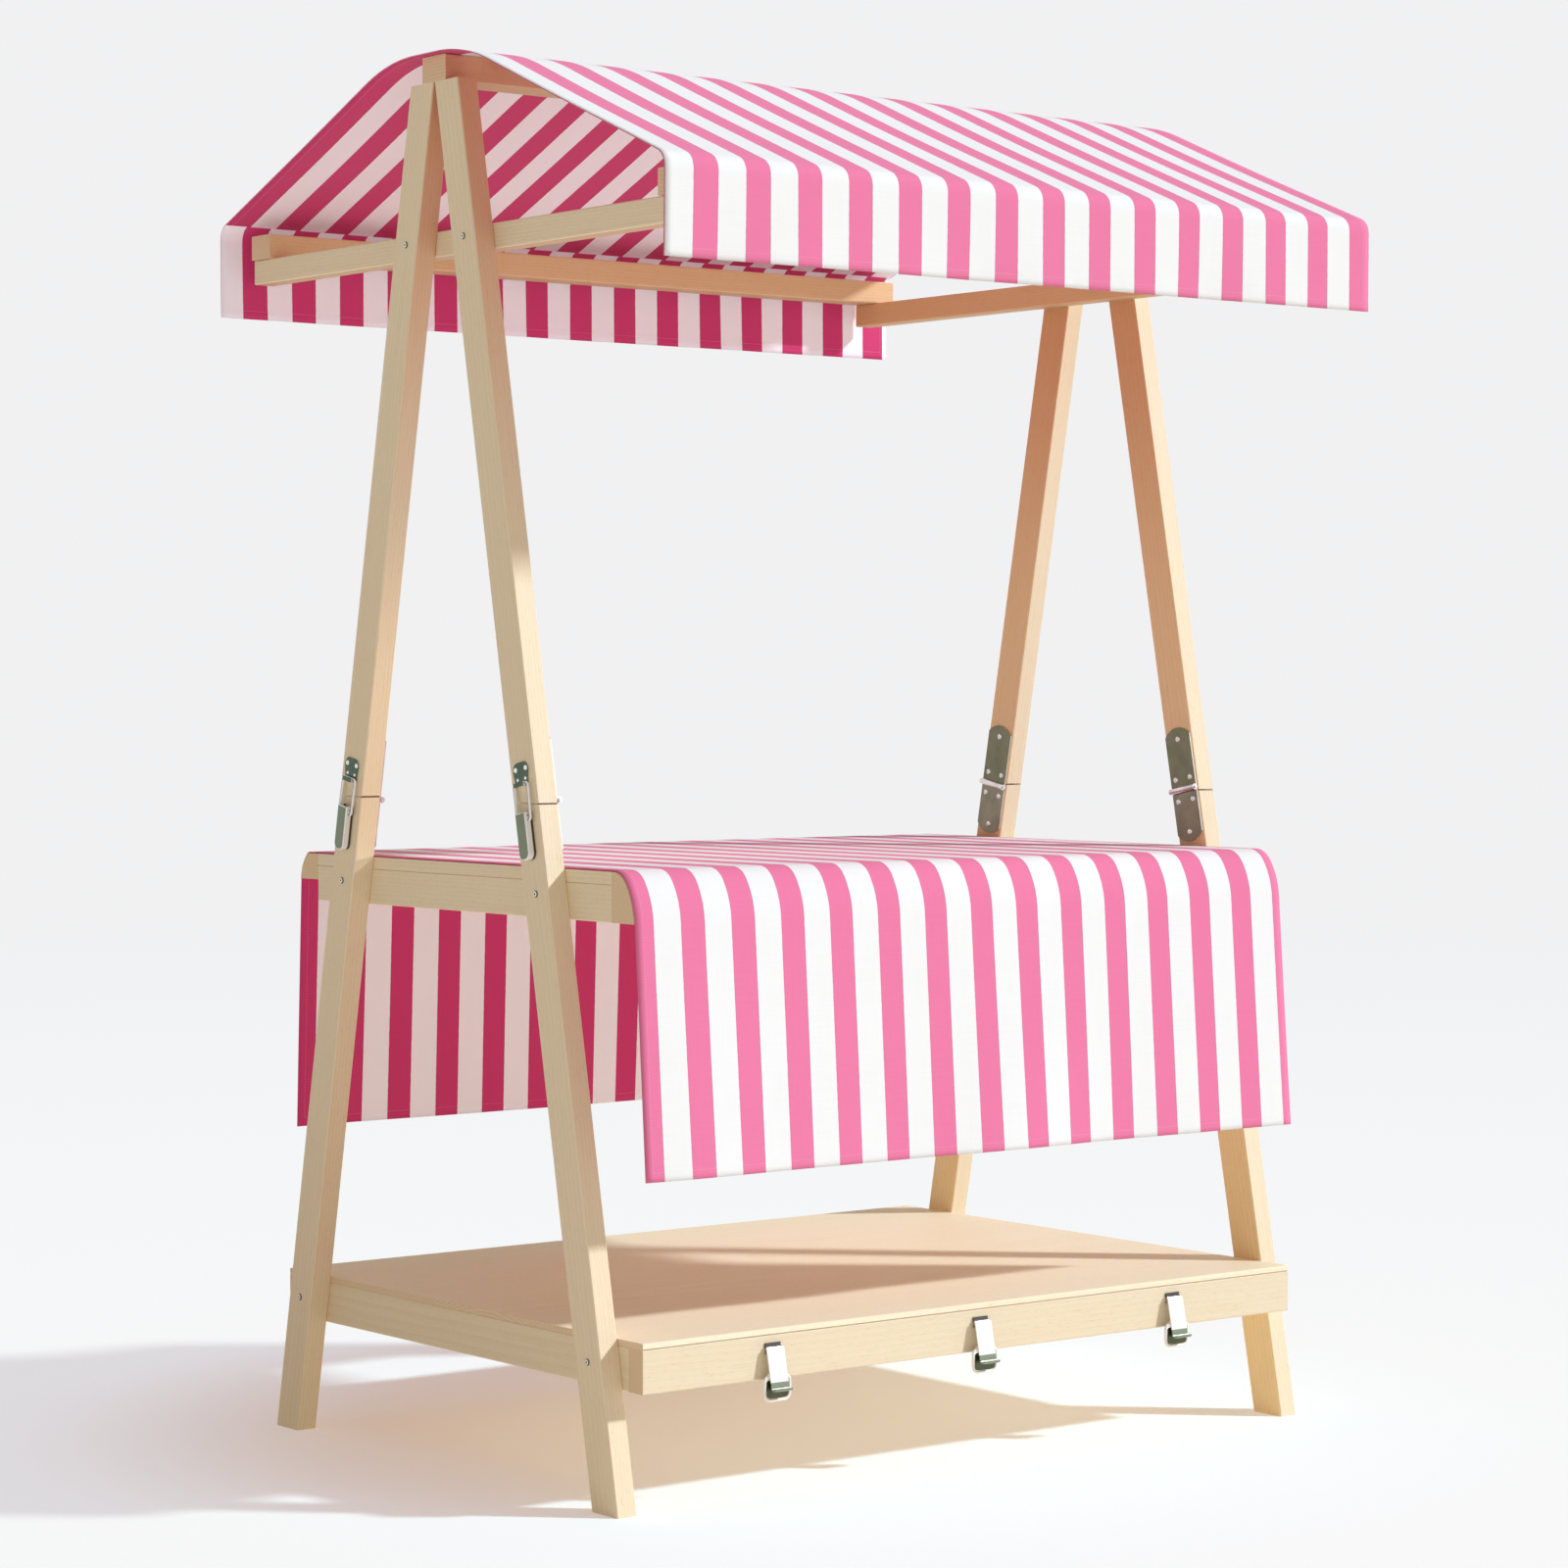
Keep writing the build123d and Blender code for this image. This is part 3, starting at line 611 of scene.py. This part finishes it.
# A painted shade on the lever where it meets the leg.
lever_shade_zone_depth = 0.0042
lever_shade_zone = (0, leg_face_outer + lever_shade_zone_depth)
lever_shade = (0.06, 0.055, 0.045, 1)
lever_shine = (1.0, 0.1)
lever_steel = steel(
    "lever", grey_green, bright, 0, 0.18, (300, 300, 40), lever_shade_zone, lever_shade, lever_shine,
    tarnish=0.3,
)
# The wire is grey where it faces out, with a painted highlight round its sides.
wire_face = (0.35, 0.36, 0.30, 1)
wire_shine = (1.0, 0.3)
wire_streak = (300, 300, 300)
wire_steel = steel("wire", wire_face, bright, 0, 0.20, wire_streak, shine=wire_shine, tarnish=0.3)
wear("latch_keepers", keeper_steel)
wear("latch_levers", lever_steel)
wear("latch_bases", keeper_steel)

wire_radius = 0.0022
bail_half = 0.0168
bail_corner = 0.0045
bail_top = (0.0286, 0.0049)
bail_foot = (-0.0260, 0.0065)
bail_seats = []
for cut, out, up, side in leg_places(leg_face_outer, 1):
    foot = cut + up * bail_foot[0] + out * bail_foot[1]
    span = cut + up * bail_top[0] + out * bail_top[1] - foot
    bail_seats.append((foot, side, span.normalized()))
wire_corners = (bail_corner, bail_corner)
leg_bails = wire_rings(
    "leg_bails", bail_seats, bail_half, span.length, wire_corners, wire_radius, wire_steel
)
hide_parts("latch_bails")

rivet_radius = 0.0040
rivet_rise = 0.0022
rivet_profile = [(0, rivet_rise)]
rivet_profile += [
    (rivet_radius * np.sin(part), rivet_rise * np.cos(part))
    for part in np.linspace(0.15, pi / 2, 9)
]
rivet_profile += [(rivet_radius, -sunk), (0, -sunk)]
keeper_thickness = 0.0025
rivet_place = (0.0128, 0.050)
stud_place = (0.0098, 0.0350)
rivet_seats = []
stud_seats = []
for cut, out, up, side in leg_places(leg_face_outer + keeper_thickness, 1):
    for seats, (across, along) in ((rivet_seats, rivet_place), (stud_seats, stud_place)):
        seats += [(cut + side * turn * across + up * along, out, up) for turn in (-1, 1)]
turned("keeper_rivets", rivet_profile, rivet_seats, 24, [screw_steel])
stud_share = 0.7
stud_profile = [(radius * stud_share, rise * stud_share) for radius, rise in rivet_profile]
turned("keeper_studs", stud_profile, stud_seats, 24, [screw_steel])


# Draw latches on the shelf's front rail: a rolled base, a bright strap with a curled lip and a
# bail of round wire with a thin dark plate set in it, hanging open. The lip's grey-green and the
# wood tone low on the base are painted reflections, and the plate stands in for the shade inside
# the ring.
lip_height = 0.0130
lip_zone = (2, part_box("shelf_latch_levers")[0].z + lip_height)
# The lip's grey-green is a painted reflection.
lip_reflection = (0.26, 0.30, 0.21, 1)
strap_shine = (0.15, 0.3)
strap_steel = steel(
    "strap", bright, bright, 1, 0.3, (40, 300, 300), lip_zone, lip_reflection, strap_shine, tarnish=0.2
)
roll_height = 0.0058
roll_zone = (2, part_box("shelf_latch_bases")[1].z - roll_height)
roll_dark = (0.14, 0.13, 0.125, 1)
# Low on the base, below its roll, a painted reflection of the wood.
clip_reflection = (0.60, 0.52, 0.42, 1)
clip_steel = steel("clip", roll_dark, roll_dark, 1, 0.3, (300, 40, 40), roll_zone, clip_reflection)
cream = (0.97, 0.94, 0.87, 1)
cream_shine = (0.0, 0.0)
cream_steel = steel(
    "cream_wire", cream, cream, 1, 0.3, wire_streak, shine=cream_shine, tarnish=0.2
)
wear("shelf_latch_bases", clip_steel)
wear("shelf_latch_levers", strap_steel)

clip_wire_radius = 0.0023
clip_half = 0.0225
clip_drop = 0.0340
clip_corners = (0.0068, 0.0100)
clip_low, clip_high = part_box("shelf_latch_bails")
clip_first = clip_low.x + clip_half + clip_wire_radius
clip_last = clip_high.x - clip_half - clip_wire_radius
clip_seats = [
    ((x, (clip_low.y + clip_high.y) / 2, clip_high.z - clip_wire_radius), (1, 0, 0), (0, 0, -1))
    for x in np.linspace(clip_first, clip_last, 3)
]
shelf_bails = wire_rings(
    "shelf_bails", clip_seats, clip_half, clip_drop, clip_corners, clip_wire_radius, cream_steel
)
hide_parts("shelf_latch_bails")

# A thin dark plate in each shelf bail, which stands in for the shade seen inside the ring.
plate_half = 0.0205
plate_height = 0.0272
plate_thickness = 0.0014
plate_profile = [
    (0, plate_thickness / 2), (0.93, plate_thickness / 2), (1, plate_thickness / 4),
    (1, -plate_thickness / 4), (0.93, -plate_thickness / 2), (0, -plate_thickness / 2),
]
plate_lap = 0.0003
plate_middle = clip_low.z + 2 * clip_wire_radius + plate_height / 2 - plate_lap
plate_seats = [((x, y, plate_middle), (0, -1, 0), (0, 0, 1)) for (x, y, _), _, _ in clip_seats]
shade_plate_tone = (0.120, 0.125, 0.072, 1)
shade_plate_steel = steel("bail_shade_plate", shade_plate_tone, shade_plate_tone, 1, 0.28, (60, 300, 300))
plate_power = 0.42
plate_shape = (plate_half, plate_height / 2, plate_power)
turned(
    "shelf_bail_plates", plate_profile, plate_seats, 48, [shade_plate_steel],
    shape=plate_shape,
)


# Canopy: one length of striped canvas over the ridge beam, straight down each slope, folded down
# outside the eave rails and hanging as a valance. Its edges are turned in and stitched.
# A painted shade on the back of the cloth under the roof slopes.
roof_shade = (0.885, 0.815, 0.785, 1)
pink_face = (0.835, 0.200, 0.380, 1)
white_face = (0.890, 0.890, 0.890, 1)
# The back's tones are painted shade and pink bounce light on the same canvas: a deep crimson for
# the pink and a pinkish white for the white.
pink_back = (0.610, 0.045, 0.175, 1)
white_back = (0.940, 0.890, 0.980, 1)
stripe_blur = 0.006
stripe_edge = 0.022
fray_share = 0.012
thread_pitch = 0.0011
hem_width = 0.016
hem_step = 0.002
stitch_pitch = 0.0045
stitch_inset = 0.82 * hem_width


def dimmed(colour, share):
    """A colour times a share."""
    return tuple(share * part for part in colour[:3]) + (1,)


def canvas(
    name, pink, white, glow, pitch, first_pink, pink_share, size, roof_shift=0.0, roof_half=0.0
):
    """Woven canvas with stripes across its first UV axis; its UV axes are lengths on flat cloth.

    A stripe is where the fraction of a pitch is below the pink share; within half a roof's girth
    of the middle the stripes start a shift later and take a painted shade. The weave is the larger
    of two crossing rows of threads, slow noise drawn out along each thread makes slubs, and a row
    of stitches runs beside each edge, nearly as far in as the hem is wide. The painted glow is an
    emission that stands in for light coming through the cloth.
    """
    material, tree, surface = finish(
        f"canvas_{name}", Sheen_Weight=0.1, Specular_IOR_Level=0.2, Emission_Strength=glow
    )
    place = tree.make("ShaderNodeUVMap", {"uv_map": "flat"}, {})
    width, length, _ = place.parts()
    fray = place.noise((700, 120, 1), 2)
    on_roof = (length - size[1] / 2).math("ABSOLUTE").math("LESS_THAN", roof_half)
    from_pink = (width - first_pink - on_roof * roof_shift) / pitch
    stripe = (from_pink + fray * fray_share).math("FRACT")
    white_band = stripe.step(pink_share - stripe_blur, pink_share + stripe_blur)
    pink_band = stripe.step(0.0, 2 * stripe_blur) * (1 - white_band)

    warp = (width * (2 * pi / thread_pitch)).math("SINE")
    weft = (length * (2 * pi / thread_pitch)).math("SINE")
    weave = warp.math("ABSOLUTE").math("MAXIMUM", weft.math("ABSOLUTE"))
    slub = place.noise((900, 14, 1), 2) + place.noise((14, 900, 1), 2)
    faded = place.noise((5, 7, 1), 3)

    side = width.math("MINIMUM", size[0] - width)
    end = length.math("MINIMUM", size[1] - length)
    edge = side.math("MINIMUM", end)
    hem = 1 - edge.step(hem_width, hem_width + hem_step)
    on_side = (side - end).math("LESS_THAN", 0.0)
    run = on_side * length + (1 - on_side) * width
    dash = ((run / stitch_pitch).math("FRACT") - 0.5).math("ABSOLUTE")
    line = 1 - (edge - stitch_inset).math("ABSOLUTE").step(0.0004, 0.0009)
    stitch = line * (1 - dash.step(0.28, 0.36))

    from_first = (stripe - stripe_blur).math("ABSOLUTE")
    from_last = (stripe - pink_share).math("ABSOLUTE")
    band_edge = 1 - from_first.math("MINIMUM", from_last).step(stripe_blur, stripe_edge)
    striped = pink_band.blend(white, (band_edge * 0.5).blend(pink, dimmed(pink, 0.72)))
    # Under the roof slopes the back takes a painted shade.
    dye_and_shade = on_roof.tint(striped, roof_shade)
    shade = slub.step(0.75, 1.35) * 0.10 + faded.step(0.35, 0.8) * 0.06 + hem * 0.03
    darker = shade.blend(dye_and_shade, pink_band.blend(dimmed(white, 0.7), dimmed(pink, 0.7)))
    thread = (stitch * 0.12).blend(darker, white)
    height = weave * 0.35 + slub * 0.4 + hem * 1.6 + stitch * 1.2 - line * 0.6
    bump = tree.make("ShaderNodeBump", {}, {"Height": height, "Strength": 0.2, "Distance": 0.0004})
    rough = 0.72 + 0.12 * slub
    connect(tree, surface, Base_Color=thread, Emission_Color=dye_and_shade, Roughness=rough, Normal=bump)
    return material


cloth_thickness = 0.0012
cloth_pace = 0.009
bend_pace = 0.12


def bent_line(runs):
    """Points along a line of runs, each a length and a turn.

    The heading turns evenly over each run, and a point is the running sum of short steps taken
    along the heading. Returns the points and the length walked to each.
    """
    headings = []
    steps = []
    heading = 0.0
    for length, turn in runs:
        count = max(2, round(length / cloth_pace), round(abs(turn) / bend_pace))
        headings.append(heading + turn * (np.arange(count) + 0.5) / count)
        steps.append(np.full(count, length / count))
        heading += turn
    heading = np.concatenate(headings)
    step = np.concatenate(steps)
    along = np.cumsum(step * np.cos(heading))
    down = np.cumsum(step * np.sin(heading))
    start = np.zeros(1)
    return (
        np.concatenate([start, along]),
        np.concatenate([start, down]),
        np.concatenate([start, np.cumsum(step)]),
    )


def ripple(x, *waves):
    """The sum along x of sine waves, each a height, a length and a phase."""
    return sum(height * np.sin(2 * pi * x / length + phase) for height, length, phase in waves)


def cloth_piece(name, x, across, level, girth, materials):
    """A sheet that sweeps a section along x, thickened inwards.

    The grid has a row for each x and a column for each point of the section, which is its offset
    across the stall and its level; both may change with x. The UV map is the two lengths on the
    flat cloth, from the first x and along the section's girth.
    """
    points = np.stack(np.broadcast_arrays(x[:, None], across, level), -1)
    flat = np.stack(np.broadcast_arrays((x - x[0])[:, None], girth), -1)
    rows, columns = points.shape[:2]
    corner = np.arange(rows * columns).reshape(rows, columns)
    faces = np.stack(
        [corner[:-1, :-1], corner[:-1, 1:], corner[1:, 1:], corner[1:, :-1]], -1
    ).reshape(-1, 4)
    mesh = bpy.data.meshes.new(name)
    mesh.from_pydata(points.reshape(-1, 3), [], faces.tolist())
    lengths = mesh.uv_layers.new(name="flat")
    lengths.data.foreach_set("uv", flat.reshape(-1, 2)[faces.ravel()].ravel().astype(np.float32))
    mesh.shade_smooth()
    for material in materials:
        mesh.materials.append(material)
    piece = bpy.data.objects.new(name, mesh)
    bpy.context.collection.objects.link(piece)
    shell = piece.modifiers.new("thickness", "SOLIDIFY")
    shell.thickness = cloth_thickness
    shell.offset = -1
    shell.material_offset = 1
    shell.material_offset_rim = 0
    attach(piece, "root")
    return piece


roof_columns = 110
roof_sag = 0.0012
valance_sway = 0.0014
crown_radius = 0.342
fold_radius = 0.026
eave_gap = 0.019
roof_low, roof_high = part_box("canopy_cloth")
ridge_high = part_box("ridge_beam")[1]
eave_low, eave_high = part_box("front_eave_rail")
eave_reach = -eave_low.y - ridge_high.y
eave_rise = eave_high.z + eave_gap - roof_high.z + crown_radius
eave_span = np.hypot(eave_reach, eave_rise)
slope = np.arctan2(eave_reach, eave_rise) - np.arccos(crown_radius / eave_span)
fold_reach = roof_high.y - fold_radius * (1 - np.sin(slope))
slope_reach = fold_reach - ridge_high.y - crown_radius * np.sin(slope)
crown_drop = crown_radius * (1 - np.cos(slope))
fold_drop = fold_radius * np.cos(slope)
valance = roof_high.z - crown_drop - slope_reach * np.tan(slope) - fold_drop - roof_low.z
roof_runs = [
    (ridge_high.y, 0),
    (crown_radius * slope, slope),
    (slope_reach / np.cos(slope), 0),
    (fold_radius * (pi / 2 - slope), pi / 2 - slope),
    (valance, 0),
]
reach, drop, walked = bent_line(roof_runs)
across = np.concatenate([reach[:0:-1], -reach])
level = roof_high.z - np.concatenate([drop[:0:-1], drop])
girth = np.concatenate([-walked[:0:-1], walked]) + walked[-1]
roof_x = np.linspace(roof_low.x, roof_high.x, roof_columns)
slope_start = roof_runs[0][0] + roof_runs[1][0] * 0.5
slope_end = sum(length for length, _ in roof_runs[:3])
valance_start = walked[-1] - valance
from_crest = np.abs(girth - walked[-1])
on_slope = np.clip((from_crest - slope_start) / (slope_end - slope_start), 0, 1)
on_valance = np.clip((from_crest - valance_start) / valance, 0, 1)
sag = roof_sag * np.sin(pi * on_slope) ** 2
sag_waves = 1 + ripple(roof_x, (0.45, 0.61, 0.8), (0.3, 0.27, 2.1))
sway = valance_sway * on_valance**1.5
sway_waves = ripple(roof_x, (1, 0.47, 0.4), (0.6, 0.23, 1.9))
roof_size = (roof_high.x - roof_low.x, girth[-1])
# A painted glow: the cloth's back emits a little of its own colour, standing in for light coming
# through it.
canopy_glow = 0.11
roof_stripes = dict(pitch=0.0907, first_pink=0.0491, pink_share=0.478, size=roof_size)
back_stripes = dict(pitch=0.0907, first_pink=0.0390, pink_share=0.500, size=roof_size)
back_shift = dict(roof_shift=-0.0385, roof_half=slope_end)
canopy = cloth_piece(
    "canopy",
    roof_x,
    across + np.sign(across) * (sway * sway_waves[:, None] - sway),
    level - sag * sag_waves[:, None],
    girth,
    [
        canvas("canopy_face", pink_face, white_face, 0.0, **roof_stripes),
        canvas("canopy_back", pink_back, white_back, canopy_glow, **back_stripes, **back_shift),
    ],
)
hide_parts("canopy_cloth")


# Counter cloth: one length of the same canvas laid over the counter, round its two nosings, and
# hanging free at the front, where it stands off a little, and at the rear.
cover_columns = 104
cover_sway = 0.0030
bend_depth = 0.075
cover_low, cover_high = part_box("counter_cloth")
halves = []
for rail, crown_radius, crown_turn, flare in (
    ("counter_front_rail", 0.036, np.radians(55), np.radians(4)),
    ("counter_rear_rail", 0.012, np.radians(45), np.radians(2.3)),
):
    rail_low, rail_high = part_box(rail)
    height = rail_high.z - rail_low.z
    rise = cover_high.z - rail_high.z
    crown_drop = crown_radius * (1 - np.cos(crown_turn))
    slack_radius = (height - crown_drop) / (np.cos(crown_turn) - np.sin(flare))
    slack_turn = pi / 2 - flare - crown_turn
    crown_run = crown_radius * np.sin(crown_turn)
    slack_run = slack_radius * (np.cos(flare) - np.sin(crown_turn))
    flat_run = max(-rail_low.y, rail_high.y) - (crown_run + slack_run)
    fall = cover_high.z - cover_low.z - height - rise * (1 - np.sin(flare))
    runs = [
        (flat_run, 0),
        ((crown_radius + rise) * crown_turn, crown_turn),
        ((slack_radius + rise) * slack_turn, slack_turn),
        (fall / np.cos(flare), 0),
    ]
    halves.append(bent_line(runs))
(front_reach, front_drop, front_walk), (rear_reach, rear_drop, rear_walk) = halves
across = np.concatenate([rear_reach[:0:-1], -front_reach])
level = cover_high.z - np.concatenate([rear_drop[:0:-1], front_drop])
girth = np.concatenate([-rear_walk[:0:-1], front_walk]) + rear_walk[-1]
cover_x = np.linspace(cover_low.x, cover_high.x, cover_columns)
bend_foot = cover_high.z - bend_depth
hanging = np.clip((bend_foot - level) / (bend_foot - cover_low.z), 0, 1)
sway = cover_sway * hanging**1.6
sway_waves = ripple(cover_x, (1, 0.52, 1.1), (0.5, 0.31, 0.2))
cover_size = (cover_high.x - cover_low.x, girth[-1])
# A painted glow on the back, as on the canopy.
cover_glow = 0.165
cover_stripes = dict(pitch=0.0895, first_pink=-0.0107, pink_share=0.477, size=cover_size)
counter_cover = cloth_piece(
    "counter_cover",
    cover_x,
    across + np.sign(across) * sway * sway_waves[:, None],
    level,
    girth,
    [
        canvas("cover_face", pink_face, white_face, 0.0, **cover_stripes),
        canvas("cover_back", pink_back, white_back, cover_glow, **cover_stripes),
    ],
)
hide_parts("counter_cloth")


# Studio: a wide pale floor that fades into a pale surround, a low sun from the front right, as
# soft as a large lamp, weak lamps in front and overhead, a spot on the rear left leg, and even
# light from all round.
def seen_directly(tree):
    """1 for a ray from the camera, or one that a shiny or clear surface sends on, and else 0."""
    rays = tree.make("ShaderNodeLightPath", {}, {}).output.node.outputs
    camera, glossy, through = [
        Socket(tree.tree, rays[f"Is {kind} Ray"]) for kind in ("Camera", "Glossy", "Transmission")
    ]
    return camera.math("MAXIMUM", glossy).math("MAXIMUM", through)


floor_half = 60.0
corners = ((-1, -1), (1, -1), (1, 1), (-1, 1))
mesh = bpy.data.meshes.new("studio_floor")
mesh.from_pydata([(x * floor_half, y * floor_half, 0) for x, y in corners], [], [(0, 1, 2, 3)])
floor = bpy.data.objects.new("studio_floor", mesh)
bpy.context.collection.objects.link(floor)
surround = (0.88, 0.88, 0.89, 1)
# Seen by the camera, the floor's shadows are painted: near the stall a cyan paint with a red lift
# keeps the lit floor white and paints its shadows warm, and further out a stronger lift paints
# them lighter. As light, the floor is a warm white that glows dimly, lighting the stall from
# below.
near_paint = (0.71, 0.96, 1.0, 1)
open_paint = (0.440, 0.450, 0.373, 1)
near_lift = (0.32, 0.16, 0.15, 1)
open_lift = (0.563, 0.565, 0.628, 1)
floor_white = (0.93, 0.88, 0.81, 1)
floor_glow = (0.21, 0.193, 0.172, 1)
open_reach = (0.6, 1.3)
far_reach = (2.2, 14.0)
material = bpy.data.materials.new("studio_floor")
material.use_nodes = True
nodes = material.node_tree.nodes
nodes.remove(nodes["Principled BSDF"])
tree = Socket(material.node_tree, None)
place = tree.make("ShaderNodeTexCoord", {}, {}, output="Object")
away = place.make("ShaderNodeVectorMath", {"operation": "LENGTH"}, {0: place}, output="Value")
far = away.step(*far_reach)
open_floor = away.step(*open_reach)
white = tree.make("ShaderNodeBsdfDiffuse", {}, {"Color": floor_white})
glow = tree.make("ShaderNodeEmission", {}, {"Color": floor_glow})
lighting = tree.make("ShaderNodeAddShader", {}, {0: white, 1: glow})
paint = open_floor.blend(near_paint, open_paint)
lift = open_floor.blend(near_lift, open_lift)
painted = tree.make("ShaderNodeBsdfDiffuse", {}, {"Color": paint})
lifted = tree.make("ShaderNodeEmission", {}, {"Color": lift})
near_floor = tree.make("ShaderNodeAddShader", {}, {0: painted, 1: lifted})
far_floor = tree.make("ShaderNodeEmission", {}, {"Color": surround})
shown = tree.make("ShaderNodeMixShader", {}, {0: far, 1: near_floor, 2: far_floor})
both = tree.make("ShaderNodeMixShader", {}, {0: seen_directly(tree), 1: lighting, 2: shown})
material.node_tree.links.new(both.output, nodes["Material Output"].inputs["Surface"])
mesh.materials.append(material)

world = bpy.data.worlds.new("studio")
bpy.context.scene.world = world
world.use_nodes = True
nodes = world.node_tree.nodes
tree = Socket(world.node_tree, None)
even_tone = (1.0, 0.90, 0.80, 1)
even_light = tree.make("ShaderNodeBackground", {}, {"Color": even_tone, "Strength": 0.30})
backdrop = tree.make("ShaderNodeBackground", {}, {"Color": surround, "Strength": 1.0})
both = tree.make("ShaderNodeMixShader", {}, {0: seen_directly(tree), 1: even_light, 2: backdrop})
world.node_tree.links.new(both.output, nodes["World Output"].inputs["Surface"])


def lamp(name, kind, location, aim=None, **settings):
    """A lamp that the camera doesn't see. It shines along its aim, or straight down without one.

    The settings are those of Blender's lamp of that kind.
    """
    light = bpy.data.lights.new(name, kind)
    for key, value in settings.items():
        setattr(light, key, value)
    stand = bpy.data.objects.new(name, light)
    bpy.context.collection.objects.link(stand)
    stand.visible_camera = False
    stand.location = location
    if aim is not None:
        stand.rotation_euler = Vector(aim).to_track_quat("-Z", "Y").to_euler()


lamp(
    "key", "SUN", (0.0, 0.0, 0.0), (-1.2, 0.95, -1.0),
    energy=2.85, color=(0.92, 1.0, 1.09), angle=np.radians(4),
)
lamp(
    "fill", "AREA", (-0.6, -5.2, 0.9), (0.1, 1.0, 0.12),
    shape="RECTANGLE", size=5.0, size_y=3.0, energy=7.0,
)
lamp(
    "overhead", "AREA", (0.0, -0.3, 5.6),
    shape="RECTANGLE", size=4.0, size_y=4.0, energy=20.0,
)
lamp(
    "spot", "SPOT", (3.2, -2.6, 1.75), (-3.85, 2.84, -0.72),
    energy=420.0, color=(1.08, 1.0, 0.79), spot_size=np.radians(8.5), spot_blend=0.8,
    shadow_soft_size=0.15,
)


# Camera: a short telephoto view from the front left, at about the height of a person's chest. Its
# place, aim and lens come from the fit to the photo that also gave the stall's proportions.
lens = bpy.data.cameras.new("camera")
lens.sensor_width = 36.0
lens.lens = 93.58
camera = bpy.data.objects.new("camera", lens)
bpy.context.collection.objects.link(camera)
camera.location = (-3.9582, -5.0653, 1.1604)
camera.rotation_euler = (np.radians(90 - 1.37), 0, np.radians(-37.92))
bpy.context.scene.camera = camera
bpy.context.scene.view_settings.view_transform = "Standard"
